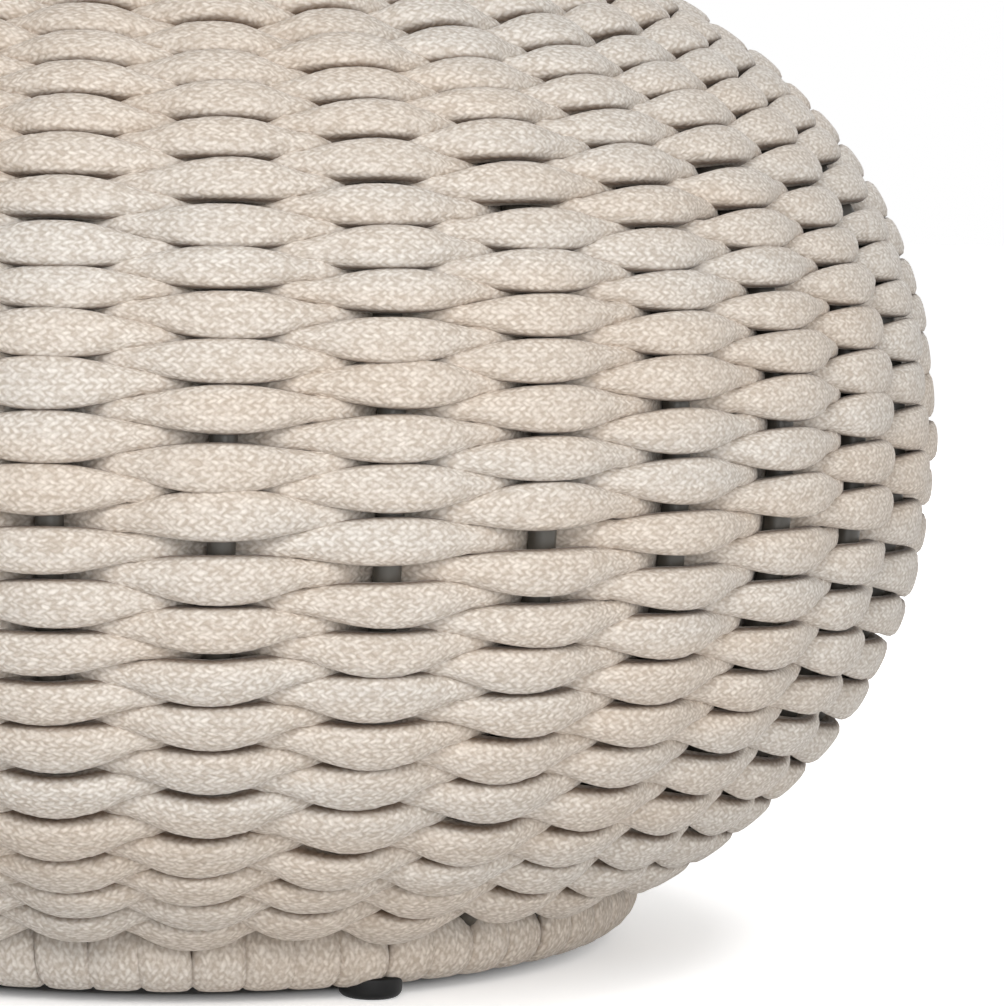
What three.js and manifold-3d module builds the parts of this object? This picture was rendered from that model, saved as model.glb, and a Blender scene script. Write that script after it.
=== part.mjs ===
// Outdoor ottoman footstool: a round cage of bent bars with thick rope woven over and under them.
// Millimetres, +Z up. The origin is on the floor, under the centre of the stool.
// Rib 0 stands on +X and the ribs are counted anticlockwise seen from above.

import * as THREE from 'three';
import { mergeVertices } from 'three/addons/utils/BufferGeometryUtils.js';
import Module from 'manifold-3d';

// Overall form: a squashed globe whose upper and lower halves are rounded differently
const WIDEST_DIAMETER = 626;
const CROWN_RISE = 219;
const CROWN_POWER = 2.25;
const BELLY_DROP = 226;
const BELLY_POWER = 2.2;
const BASE_RIM_DROP = 182;
const WAIST_COURSE_DROP = 18.6;
const TOP_RIM_DIAMETER = 208;

// Bent bars of the cage
const RIB_COUNT = 32;
const BAR_DIAMETER = 10;
const RIB_END_DIAMETER = 170;
const HUB_RIM_WIDTH = 12;
const HUB_PLATE_THICKNESS = 3;
const HUB_SINK = 4;

// Rope, where it lies flat over a bar, and the dip between two crowns of the weave
const ROPE_THICKNESS = 8;
const WEAVE_DIP = 6.5;
const COURSES_BELOW_WAIST = 20;
const COURSES_ABOVE_WAIST = 38;

// Rope wound round the base ring
const LASHING_THICKNESS = 9;
const LASHING_NOTCH = 2.2;
const WRAPS_PER_BAY = 2;

// Coil of rope that closes the top
const COIL_ROPE_DIAMETER = 15.5;
const COIL_GAP = 0.8;
const COIL_START_RADIUS = 9;

// Glides under the base ring
const FOOT_COUNT = 4;
const FIRST_FOOT_RIB = 2;
const FOOT_DIAMETER = 24;
const FOOT_HEIGHT = 5.5;
const FOOT_EDGE_RADIUS = 1.5;
const STEM_DIAMETER = 8;

// Fits
const SEAT_GAP = 0.3;
const CHANNEL_GAP = 0.35;

// Facets
const RIB_STEPS = 8;
const BAR_SIDES = 6;
const LASHING_SIDES = 7;
const LASHING_BORE_SIDES = 6;
const COIL_STEPS_PER_TURN = 24;
const COIL_SIDES = 6;
const FOOT_SIDES = 10;
const PROFILE_SAMPLES = 720;

// Sizes that follow from those above
const widestRadius = WIDEST_DIAMETER / 2;
const barRadius = BAR_DIAMETER / 2;
const ribInset = ROPE_THICKNESS + barRadius;
const wallThickness = 2 * ribInset;
const lashingRadius = barRadius + LASHING_THICKNESS;
const bayAngle = (2 * Math.PI) / RIB_COUNT;
const apothemShare = Math.cos(Math.PI / RIB_COUNT);

const barFinish = new THREE.MeshStandardMaterial({ color: 0x55565a, roughness: 0.55, metalness: 0.3 });
const ropeFinish = new THREE.MeshStandardMaterial({ color: 0xcfc4b5, roughness: 0.9, metalness: 0 });
const glideFinish = new THREE.MeshStandardMaterial({ color: 0x1b1b1c, roughness: 0.5, metalness: 0 });

// Outline of the rope's crowns, as radius and height above the widest line
function crownRadius(height) {
  const rise = height >= 0 ? CROWN_RISE : BELLY_DROP;
  const power = height >= 0 ? CROWN_POWER : BELLY_POWER;
  const heightShare = Math.min(Math.abs(height) / rise, 1);
  return widestRadius * (1 - heightShare ** power) ** (1 / power);
}

// The outline from the base rim up to where the ribs end, sampled evenly by angle and measured
// along its length
function sampleOutline() {
  const lowAngle = Math.asin((BASE_RIM_DROP / BELLY_DROP) ** (BELLY_POWER / 2));
  const highAngle = Math.acos((RIB_END_DIAMETER / WIDEST_DIAMETER) ** (CROWN_POWER / 2));
  const samples = [];
  let length = 0;
  for (let i = 0; i <= PROFILE_SAMPLES; i++) {
    const angle = -lowAngle + ((lowAngle + highAngle) * i) / PROFILE_SAMPLES;
    const rise = angle >= 0 ? CROWN_RISE : BELLY_DROP;
    const power = angle >= 0 ? CROWN_POWER : BELLY_POWER;
    const height = Math.sign(angle) * rise * Math.abs(Math.sin(angle)) ** (2 / power);
    const point = new THREE.Vector2(crownRadius(height), height);
    if (i > 0) {
      length += point.distanceTo(samples[i - 1].point);
    }
    samples.push({ point, length });
  }
  return samples;
}

const outline = sampleOutline();
const outlineLength = outline[PROFILE_SAMPLES].length;

// The place at a length along the outline, moved inwards by inset, and the way it runs there
function outlineAt(length, inset) {
  const i = Math.max(1, outline.findIndex((sample) => sample.length >= length));
  const last = length >= outlineLength ? PROFILE_SAMPLES : i;
  const low = outline[last - 1];
  const high = outline[last];
  const share = (length - low.length) / (high.length - low.length);
  const point = low.point.clone().lerp(high.point, share);
  const tangent = high.point.clone().sub(low.point).normalize();
  const inward = new THREE.Vector2(-tangent.y, tangent.x);
  return { point: point.addScaledVector(inward, inset), tangent };
}

// The length along the outline at which a measure that grows upwards reaches a value
function lengthWhere(measure, value) {
  const i = outline.findIndex((sample) => measure(sample.point) >= value);
  const low = outline[i - 1];
  const high = outline[i];
  const share = (value - measure(low.point)) / (measure(high.point) - measure(low.point));
  return low.length + (high.length - low.length) * share;
}

const waistLength = lengthWhere((point) => point.y, -WAIST_COURSE_DROP);
const weaveLength = lengthWhere((point) => (point.y > 0 ? -point.x : -widestRadius), -TOP_RIM_DIAMETER / 2);

// The base ring lies just past the weave's lower rim, in line with the outer faces of the bars,
// and clear of the flats that the weave's rim has between two ribs
const baseRim = outlineAt(0, ROPE_THICKNESS);
const rimFlatDepth = baseRim.point.x * (1 - apothemShare);
const ringDistance = lashingRadius + SEAT_GAP + rimFlatDepth;
const ringCentre = baseRim.point.clone().addScaledVector(baseRim.tangent, -ringDistance);

// Heights above the floor
const widestHeight = FOOT_HEIGHT + SEAT_GAP + lashingRadius - ringCentre.y;
const ribFoot = outlineAt(0, ribInset).point;
const ringRadius = ringCentre.x;
const ringHeight = widestHeight + ringCentre.y;

// A place on the cage or the weave: rib number, length along the outline, and inset from the crowns
function place(rib, length, inset) {
  const { point } = outlineAt(length, inset);
  const angle = rib * bayAngle;
  return new THREE.Vector3(point.x * Math.cos(angle), point.x * Math.sin(angle), widestHeight + point.y);
}

function onRibPlane(rib, radius, height) {
  const angle = rib * bayAngle;
  return new THREE.Vector3(radius * Math.cos(angle), radius * Math.sin(angle), height);
}

// A line of straight pieces through given stations, which a sweep steps along one by one
class StationLine extends THREE.Curve {
  constructor(stations) {
    super();
    this.stations = stations;
  }

  getPoint(t, target = new THREE.Vector3()) {
    const pieces = this.stations.length - 1;
    const piece = Math.min(Math.floor(t * pieces), pieces - 1);
    return target.lerpVectors(this.stations[piece], this.stations[piece + 1], t * pieces - piece);
  }

  getUtoTmapping(u) {
    return u;
  }
}

// The middle line of a rib: from the base ring up inside the weave to its upper rim, and on to the hub
function ribLine(rib) {
  const ring = onRibPlane(rib, ringRadius, ringHeight);
  const foot = place(rib, 0, ribInset);
  const stations = [ring.clone().add(foot.clone().sub(ring).setLength(barRadius + SEAT_GAP))];
  for (let i = 0; i <= RIB_STEPS; i++) {
    stations.push(place(rib, (weaveLength * i) / RIB_STEPS, ribInset));
  }
  stations.push(place(rib, outlineLength, ribInset + HUB_SINK));
  return new StationLine(stations);
}

function polygon(radius, sides, turn) {
  const corners = [];
  for (let i = 0; i < sides; i++) {
    const angle = turn + (2 * Math.PI * i) / sides;
    corners.push(new THREE.Vector2(radius * Math.cos(angle), radius * Math.sin(angle)));
  }
  return new THREE.Shape(corners);
}

function sweep(section, line, steps) {
  return new THREE.ExtrudeGeometry(section, { extrudePath: line, steps, curveSegments: 1 });
}

function ribGeometry(rib) {
  return sweep(polygon(barRadius, BAR_SIDES, 0), ribLine(rib), RIB_STEPS + 2);
}

// Corners of the square way that a rib takes through the rope, at one of its steps in the weave:
// outer right, outer left, inner left and inner right, seen from outside with the foot down
function channelCorners(rib, step) {
  const line = ribLine(rib);
  const atRim = step === 0 || step === RIB_STEPS;
  const rimTangent = outlineAt((weaveLength * step) / RIB_STEPS, 0).tangent;
  const along = atRim
    ? onRibPlane(rib, rimTangent.x, rimTangent.y)
    : line.getTangentAt((step + 1) / (RIB_STEPS + 2));
  const halfWidth = barRadius + CHANNEL_GAP;
  const side = onRibPlane(rib + RIB_COUNT / 4, halfWidth, 0);
  const out = side.clone().cross(along).setLength(halfWidth);
  const middle = line.stations[step + 1];
  const outerFace = middle.clone().add(out);
  const innerFace = middle.clone().sub(out);
  return [
    outerFace.clone().add(side),
    outerFace.clone().sub(side),
    innerFace.clone().sub(side),
    innerFace.clone().add(side),
  ];
}

function indexedGeometry(vertices, triangles) {
  const geometry = new THREE.BufferGeometry().setFromPoints(vertices);
  geometry.setIndex(triangles);
  geometry.computeVertexNormals();
  return geometry;
}

function quad(a, b, c, d) {
  return [a, b, c, a, c, d];
}

// The weave: each crown is where the rope lies over a rib, and crowns of one course stand between
// those of the next, so that every one shows as a lozenge two bays long. Behind each line of crowns
// the ribs pass up through the wall.
function coverGeometry() {
  const levels = [];
  for (let i = 0; i <= COURSES_BELOW_WAIST; i++) {
    levels.push((waistLength * i) / COURSES_BELOW_WAIST);
  }
  for (let i = 1; i <= COURSES_ABOVE_WAIST; i++) {
    levels.push(waistLength + ((weaveLength - waistLength) * i) / COURSES_ABOVE_WAIST);
  }
  const vertices = [];
  levels.forEach((length, level) => {
    for (let rib = 0; rib < RIB_COUNT; rib++) {
      const isCrown = (rib + level) % 2 === 1;
      vertices.push(place(rib, length, isCrown ? 0 : WEAVE_DIP));
    }
  });
  const innerStart = vertices.length;
  for (let step = 0; step <= RIB_STEPS; step++) {
    for (let rib = 0; rib < RIB_COUNT; rib++) {
      vertices.push(place(rib, (weaveLength * step) / RIB_STEPS, wallThickness));
    }
  }
  const channelStart = vertices.length;
  for (let step = 0; step <= RIB_STEPS; step++) {
    for (let rib = 0; rib < RIB_COUNT; rib++) {
      vertices.push(...channelCorners(rib, step));
    }
  }
  const outer = (level, rib) => level * RIB_COUNT + (rib % RIB_COUNT);
  const inner = (step, rib) => innerStart + outer(step, rib);
  const channel = (step, rib, corner) => channelStart + outer(step, rib) * 4 + (corner % 4);

  // A rim between two ribs, seen from below at the base: it runs round half of each rib's way
  const rim = (level, step, rib) => {
    const [outRight, outLeft, inLeft, inRight] = [0, 1, 2, 3].map((corner) => channel(step, rib, corner));
    const [, nextOutLeft, nextInLeft] = [0, 1, 2].map((corner) => channel(step, rib + 1, corner));
    return [
      ...quad(outRight, outer(level, rib), outer(level, rib + 1), nextOutLeft),
      ...quad(inRight, outRight, nextOutLeft, nextInLeft),
      ...quad(inner(step, rib), inRight, nextInLeft, inner(step, rib + 1)),
      ...[outer(level, rib), outRight, outLeft],
      ...[inner(step, rib), inLeft, inRight],
    ];
  };
  const lastLevel = levels.length - 1;
  const triangles = [];
  for (let rib = 0; rib < RIB_COUNT; rib++) {
    for (let level = 0; level < lastLevel; level++) {
      const corners = [
        outer(level, rib),
        outer(level, rib + 1),
        outer(level + 1, rib + 1),
        outer(level + 1, rib),
      ];
      const foldsFromFirst = (rib + level) % 2 === 0;
      const turned = foldsFromFirst ? corners : [...corners.slice(1), corners[0]];
      triangles.push(...quad(...turned));
    }
    for (let step = 0; step < RIB_STEPS; step++) {
      triangles.push(
        ...quad(inner(step + 1, rib), inner(step + 1, rib + 1), inner(step, rib + 1), inner(step, rib)),
      );
      for (let corner = 0; corner < 4; corner++) {
        triangles.push(
          ...quad(
            channel(step, rib, corner),
            channel(step, rib, corner + 1),
            channel(step + 1, rib, corner + 1),
            channel(step + 1, rib, corner),
          ),
        );
      }
    }
    triangles.push(...rim(0, 0, rib).reverse());
    triangles.push(...rim(lastLevel, RIB_STEPS, rib));
  }
  return indexedGeometry(vertices, triangles);
}

// The base ring is as round as there are ribs, with a corner at every rib
function ringGeometry() {
  const section = [];
  for (let i = 0; i <= BAR_SIDES; i++) {
    const angle = (2 * Math.PI * i) / BAR_SIDES;
    section.push(
      new THREE.Vector2(ringRadius + barRadius * Math.cos(angle), ringHeight + barRadius * Math.sin(angle)),
    );
  }
  return latheUp(section, RIB_COUNT);
}

// A lathe turned so that its axis is Z and its first corner lies on +X
function latheUp(profile, segments) {
  const geometry = new THREE.LatheGeometry(profile, segments);
  geometry.rotateX(Math.PI / 2);
  geometry.rotateZ(Math.PI / 2);
  return geometry;
}

// The rope wound round the base ring: full at the middle of each wrap and narrow where two meet.
// Its bore holds the ring. At each rib the wraps part, and leave a slot from the bore up to the rib.
function lashingGeometry() {
  const stepsPerBay = 2 * WRAPS_PER_BAY;
  const rings = RIB_COUNT * stepsPerBay;
  const weldTurn = Math.atan2(ribFoot.y - ringCentre.y, ribFoot.x - ringCentre.x);
  const slotHalfTurn = Math.PI / LASHING_BORE_SIDES;
  const sideTurn = (2 * Math.PI - 2 * slotHalfTurn) / (LASHING_SIDES - 1);
  const ringFlatDepth = ringRadius * (1 - apothemShare);
  const boreRadius = (barRadius + CHANNEL_GAP + ringFlatDepth) / Math.cos(slotHalfTurn);
  const vertices = [];
  const addPoint = (ring, turn, radius) => {
    const fromAxis = ringRadius + radius * Math.cos(turn);
    vertices.push(onRibPlane(ring / stepsPerBay, fromAxis, ringHeight + radius * Math.sin(turn)));
  };
  for (let ring = 0; ring < rings; ring++) {
    const radius = ring % 2 === 0 ? lashingRadius - LASHING_NOTCH : lashingRadius;
    for (let side = 0; side < LASHING_SIDES; side++) {
      addPoint(ring, weldTurn + slotHalfTurn + side * sideTurn, radius);
    }
  }
  const boreStart = vertices.length;
  for (let ring = 0; ring < rings; ring++) {
    for (let side = 0; side < LASHING_BORE_SIDES; side++) {
      addPoint(ring, weldTurn + slotHalfTurn * (1 + 2 * side), boreRadius);
    }
  }
  const wrapped = (ring) => (ring + rings) % rings;
  const skin = (ring, side) => wrapped(ring) * LASHING_SIDES + (side % LASHING_SIDES);
  const bore = (ring, side) => boreStart + wrapped(ring) * LASHING_BORE_SIDES + (side % LASHING_BORE_SIDES);
  const skinQuad = (ring, side) =>
    quad(skin(ring, side), skin(ring + 1, side), skin(ring + 1, side + 1), skin(ring, side + 1));
  const boreQuad = (from, to, side) =>
    quad(bore(from, side + 1), bore(to, side + 1), bore(to, side), bore(from, side));
  const lastSide = LASHING_SIDES - 1;
  const lastBoreSide = LASHING_BORE_SIDES - 1;
  const triangles = [];
  for (let rib = 0; rib < RIB_COUNT; rib++) {
    const slotStart = rib * stepsPerBay - 1;
    const slotEnd = slotStart + 2;
    const nextSlot = slotStart + stepsPerBay;
    for (let ring = slotStart; ring < nextSlot; ring++) {
      const sides = ring < slotEnd ? lastSide : LASHING_SIDES;
      for (let side = 0; side < sides; side++) {
        triangles.push(...skinQuad(ring, side));
      }
    }
    for (let side = 1; side < lastBoreSide - 1; side++) {
      triangles.push(...boreQuad(slotStart, slotEnd, side));
    }
    for (let side = 0; side < LASHING_BORE_SIDES; side++) {
      triangles.push(...boreQuad(slotEnd, nextSlot, side));
    }
    const slotMiddle = slotStart + 1;
    triangles.push(
      ...[bore(slotStart, 1), skin(slotMiddle, 0), skin(slotStart, 0)],
      ...[bore(slotStart, 1), bore(slotEnd, 1), skin(slotMiddle, 0)],
      ...[bore(slotEnd, 1), skin(slotEnd, 0), skin(slotMiddle, 0)],
      ...[skin(slotStart, lastSide), skin(slotMiddle, lastSide), bore(slotStart, lastBoreSide - 1)],
      ...[skin(slotMiddle, lastSide), bore(slotEnd, lastBoreSide - 1), bore(slotStart, lastBoreSide - 1)],
      ...[skin(slotMiddle, lastSide), skin(slotEnd, lastSide), bore(slotEnd, lastBoreSide - 1)],
    );
    const slotWall = (ring) => [
      ...quad(skin(ring, 0), skin(ring, lastSide), bore(ring, lastBoreSide), bore(ring, 0)),
      ...[skin(ring, 0), bore(ring, 0), bore(ring, 1)],
      ...[skin(ring, lastSide), bore(ring, lastBoreSide - 1), bore(ring, lastBoreSide)],
    ];
    triangles.push(...slotWall(slotStart), ...slotWall(slotEnd).reverse());
  }
  return indexedGeometry(vertices, triangles);
}

// The hub: a plate with a deep rim, whose flats lie square to the ends of the ribs
const ribAtRim = outlineAt(weaveLength, ribInset).point;
const ribEnd = outlineAt(outlineLength, ribInset + HUB_SINK).point;
const ribEndTangent = ribEnd.clone().sub(ribAtRim).normalize();
const hubRimUp = new THREE.Vector2(ribEndTangent.y, -ribEndTangent.x).multiplyScalar(barRadius);
const hubFace = ribEnd.clone().addScaledVector(ribEndTangent, SEAT_GAP);

function hubGeometry() {
  const rimTop = hubFace.clone().add(hubRimUp);
  const rimBottom = hubFace.clone().sub(hubRimUp);
  const hollowRadius = rimBottom.x - HUB_RIM_WIDTH;
  const plateBottom = rimTop.y - HUB_PLATE_THICKNESS;
  const profile = [
    new THREE.Vector2(0, plateBottom),
    new THREE.Vector2(hollowRadius / apothemShare, plateBottom),
    new THREE.Vector2(hollowRadius / apothemShare, rimBottom.y),
    new THREE.Vector2(rimBottom.x / apothemShare, rimBottom.y),
    new THREE.Vector2(rimTop.x / apothemShare, rimTop.y),
    new THREE.Vector2(0, rimTop.y),
  ];
  const geometry = latheUp(profile, RIB_COUNT);
  geometry.rotateZ(bayAngle / 2);
  geometry.translate(0, 0, widestHeight);
  return geometry;
}

// The flat coil of rope that is wound from the middle of the hub out to the weave's upper rim.
// It lies on the ribs, under its last turn, or on the hub's rim, whichever is higher.
const coilPitch = COIL_ROPE_DIAMETER + COIL_GAP;
const coilEndRadius = TOP_RIM_DIAMETER / 2 - COIL_ROPE_DIAMETER / 2 - COIL_GAP;
const coilTurns = (coilEndRadius - COIL_START_RADIUS) / coilPitch;
const coilSteps = Math.round(coilTurns * COIL_STEPS_PER_TURN);
const coilEndShare = (coilEndRadius - ribEnd.x) / (ribAtRim.x - ribEnd.x);
const ribUnderCoil = ribEnd.clone().lerp(ribAtRim, coilEndShare);
const coilSeat = Math.max(ribUnderCoil.y + barRadius, hubFace.y + hubRimUp.y);
const coilHeight = widestHeight + coilSeat + SEAT_GAP + COIL_ROPE_DIAMETER / 2;

class CoilLine extends THREE.Curve {
  getPoint(t, target = new THREE.Vector3()) {
    const angle = 2 * Math.PI * coilTurns * t;
    const radius = COIL_START_RADIUS + coilPitch * coilTurns * t;
    return target.set(radius * Math.cos(angle), radius * Math.sin(angle), coilHeight);
  }

  // Steps are even in angle, so that the corners of one turn lie beside those of the next
  getUtoTmapping(u) {
    return u;
  }
}

function coilGeometry() {
  return sweep(polygon(COIL_ROPE_DIAMETER / 2, COIL_SIDES, 0), new CoilLine(), coilSteps);
}

// Least gap between one turn of the coil and the next: from a point on the rope's middle line to any
// that is half a turn or more away, less the rope's thickness
function leastCoilGap() {
  const middles = new CoilLine().getSpacedPoints(coilSteps);
  const apart = COIL_STEPS_PER_TURN / 2;
  let least = Infinity;
  for (let i = 0; i + apart <= coilSteps; i++) {
    for (let j = i + apart; j <= coilSteps; j++) {
      least = Math.min(least, middles[i].distanceTo(middles[j]));
    }
  }
  return least - COIL_ROPE_DIAMETER;
}

// A glide: a round pad with a rounded lower edge, on a stem that reaches the base ring
function footGeometry() {
  const radius = FOOT_DIAMETER / 2;
  const stemRadius = STEM_DIAMETER / 2;
  const stemTop = ringHeight - barRadius - SEAT_GAP;
  const profile = [
    new THREE.Vector2(0, 0),
    new THREE.Vector2(radius - FOOT_EDGE_RADIUS, 0),
    new THREE.Vector2(radius, FOOT_EDGE_RADIUS),
    new THREE.Vector2(radius, FOOT_HEIGHT),
    new THREE.Vector2(stemRadius, FOOT_HEIGHT),
    new THREE.Vector2(stemRadius, stemTop),
    new THREE.Vector2(0, stemTop),
  ];
  return latheUp(profile, FOOT_SIDES);
}

function stemCutGeometry() {
  const radius = STEM_DIAMETER / 2 + CHANNEL_GAP;
  const profile = [
    new THREE.Vector2(0, 0),
    new THREE.Vector2(radius, 0),
    new THREE.Vector2(radius, ringHeight),
    new THREE.Vector2(0, ringHeight),
  ];
  return latheUp(profile, FOOT_SIDES);
}

const wasm = await Module();
wasm.setup();

function toSolid(geometry) {
  const bare = geometry.clone();
  bare.deleteAttribute('normal');
  bare.deleteAttribute('uv');
  const merged = mergeVertices(bare);
  const index = merged.index.array;
  const triangles = [];
  for (let i = 0; i < index.length; i += 3) {
    const [a, b, c] = [index[i], index[i + 1], index[i + 2]];
    if (a !== b && b !== c && c !== a) {
      triangles.push(a, b, c);
    }
  }
  return new wasm.Manifold(
    new wasm.Mesh({
      numProp: 3,
      vertProperties: new Float32Array(merged.attributes.position.array),
      triVerts: new Uint32Array(triangles),
    }),
  );
}

function fromSolid(solid) {
  const mesh = solid.getMesh();
  const geometry = new THREE.BufferGeometry();
  geometry.setAttribute('position', new THREE.BufferAttribute(new Float32Array(mesh.vertProperties), 3));
  geometry.setIndex(new THREE.BufferAttribute(new Uint32Array(mesh.triVerts), 1));
  geometry.computeVertexNormals();
  return geometry;
}

// The lashing with a way up to the base ring for the stem of each glide
function pierced(geometry, stemCuts) {
  const whole = toSolid(geometry);
  return fromSolid(stemCuts.reduce((solid, stemCut) => solid.subtract(toSolid(stemCut)), whole));
}

const stool = new THREE.Group();
const cage = new THREE.Group();
const ropework = new THREE.Group();
stool.add(cage, ropework);

function addPiece(group, name, geometry, finish) {
  const mesh = new THREE.Mesh(geometry, finish);
  mesh.name = name;
  group.add(mesh);
  return mesh;
}

const ribs = Array.from({ length: RIB_COUNT }, (_, rib) => rib);
const footRibs = ribs.filter((rib) => (rib - FIRST_FOOT_RIB) % (RIB_COUNT / FOOT_COUNT) === 0);

ribs.forEach((rib) => {
  addPiece(cage, `rib_${String(rib + 1).padStart(2, '0')}`, ribGeometry(rib), barFinish);
});
addPiece(cage, 'base_ring', ringGeometry(), barFinish);
addPiece(cage, 'top_hub', hubGeometry(), barFinish);
footRibs.forEach((rib, i) => {
  const foot = addPiece(cage, `foot_${i + 1}`, footGeometry(), glideFinish);
  foot.position.copy(onRibPlane(rib, ringRadius, 0));
});

const stemCuts = footRibs.map((rib) => {
  const { x, y } = onRibPlane(rib, ringRadius, 0);
  return stemCutGeometry().translate(x, y, 0);
});
addPiece(ropework, 'woven_cover', coverGeometry(), ropeFinish);
addPiece(ropework, 'base_lashing', pierced(lashingGeometry(), stemCuts), ropeFinish);
addPiece(ropework, 'top_coil', coilGeometry(), ropeFinish);
console.log(`least gap in the top coil: ${leastCoilGap().toFixed(2)} mm`);

export default stool;
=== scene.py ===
import math
from functools import partial

import bpy
import numpy as np
from bpy.props import FloatProperty, FloatVectorProperty, IntProperty, PointerProperty
from mathutils import Matrix, Vector


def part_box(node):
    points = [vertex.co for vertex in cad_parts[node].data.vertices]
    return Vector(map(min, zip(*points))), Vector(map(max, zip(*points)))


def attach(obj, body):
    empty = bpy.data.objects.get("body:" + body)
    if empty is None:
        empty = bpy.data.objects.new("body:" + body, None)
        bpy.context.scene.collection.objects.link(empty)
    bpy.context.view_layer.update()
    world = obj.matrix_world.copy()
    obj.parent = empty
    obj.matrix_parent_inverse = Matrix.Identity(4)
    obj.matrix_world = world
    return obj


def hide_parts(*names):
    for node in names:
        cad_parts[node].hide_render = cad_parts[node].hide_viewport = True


bl_info = {
    "name": "Woven rope footstool",
    "version": (1, 0, 0),
    "blender": (4, 5, 0),
    "location": "3D View > Sidebar > Footstool",
    "description": "Dresses a round footstool of thick rope woven over and under bent bars",
    "category": "Add Mesh",
}

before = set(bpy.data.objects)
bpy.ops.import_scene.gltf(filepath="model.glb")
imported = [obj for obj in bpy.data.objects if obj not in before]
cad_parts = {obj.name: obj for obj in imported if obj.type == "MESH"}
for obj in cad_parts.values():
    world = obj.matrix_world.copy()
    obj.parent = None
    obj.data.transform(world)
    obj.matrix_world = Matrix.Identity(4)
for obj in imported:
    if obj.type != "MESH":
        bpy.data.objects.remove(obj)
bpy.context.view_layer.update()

MM = 0.001
IMAGE_WIDTH = 1004
IMAGE_HEIGHT = 1006

COVER_LOW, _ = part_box("woven_cover")
HOOP_LOW, HOOP_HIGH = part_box("base_ring")
LASHING_LOW, LASHING_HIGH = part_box("base_lashing")
COIL_LOW, COIL_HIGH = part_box("top_coil")
HUB_LOW, HUB_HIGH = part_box("top_hub")
RIB_NODES = sorted(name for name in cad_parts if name.startswith("rib_"))
GLIDE_NODES = sorted(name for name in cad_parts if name.startswith("foot_"))

TURN = 2 * math.pi
BAY = TURN / len(RIB_NODES)


def linear(code):
    """The linear colour of an sRGB hex code."""
    shares = [int(code[i : i + 2], 16) / 255 for i in (1, 3, 5)]
    return [s / 12.92 if s <= 0.04045 else ((s + 0.055) / 1.055) ** 2.4 for s in shares] + [1.0]


WHITE, BLACK = linear("#FFFFFF"), linear("#000000")


def length_property(name, description, default):
    """A size in metres that a user may change."""
    return FloatProperty(
        name=name, description=description, default=default, min=0, unit="LENGTH", precision=4
    )


def colour_property(name, description, code):
    """A colour that a user may change."""
    return FloatVectorProperty(
        name=name, description=description, default=linear(code), size=4, min=0, max=1, subtype="COLOR"
    )


class FootstoolSizes(bpy.types.PropertyGroup):
    """Lengths, powers and counts of the stool."""

    widest_diameter: length_property("Widest diameter", "Over the crowns of the rope", 626 * MM)
    crown_rise: length_property("Crown rise", "From the widest line to the upper curve's own top", 219 * MM)
    belly_drop: length_property("Belly drop", "From the widest line to the lower curve's own end", 226 * MM)
    rim_drop: length_property("Rim drop", "From the widest line to the lower rim of the weave", 182 * MM)
    top_rim_diameter: length_property("Top rim diameter", "Upper rim of the weave", 208 * MM)
    crown_power: FloatProperty(name="Crown power", description="Fullness of the upper curve", default=2.25)
    belly_power: FloatProperty(name="Belly power", description="Fullness of the lower curve", default=2.2)
    bar_diameter: length_property("Bar diameter", "Round bars of the cage", 10 * MM)
    rope_over_bar: length_property("Rope over a bar", "Thickness where it is pulled over a bar", 8 * MM)
    rope_between_bars: length_property("Rope between bars", "Thickness half-way between two bars", 14 * MM)
    rope_girth: length_property("Rope girth", "Length of the way round the rope", 40 * MM)
    stitch_length: length_property("Stitch length", "Of the rope's braid, along the rope", 3.1 * MM)
    braid_rows: IntProperty(name="Braid rows", description="Round the rope, an even number", default=24)
    wraps_per_bay: IntProperty(name="Wraps in a bay", description="Round the base hoop, per bay", default=2)
    courses: IntProperty(name="Courses", description="Of rope from the lower to the upper rim", default=58)


class FootstoolColours(bpy.types.PropertyGroup):
    """Colours of the finishes."""

    rope: colour_property("Rope", "Middle tone of the rope's yarn", "#D9D2CA")
    rope_light: colour_property("Rope, light", "Cream flecks in the yarn", "#E9E3DB")
    rope_dark: colour_property("Rope, dark", "Darker flecks in the yarn", "#C6BCB1")
    rope_warm: colour_property("Rope, warm", "Tint of the warmer stretches of rope", "#FFF9F3")
    bar: colour_property("Bars", "Powder coat", "#55514A")
    glide: colour_property("Glides", "Moulded plastic", "#070708")
    floor: colour_property("Floor", "Studio floor", "#F4F4F4")


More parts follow.
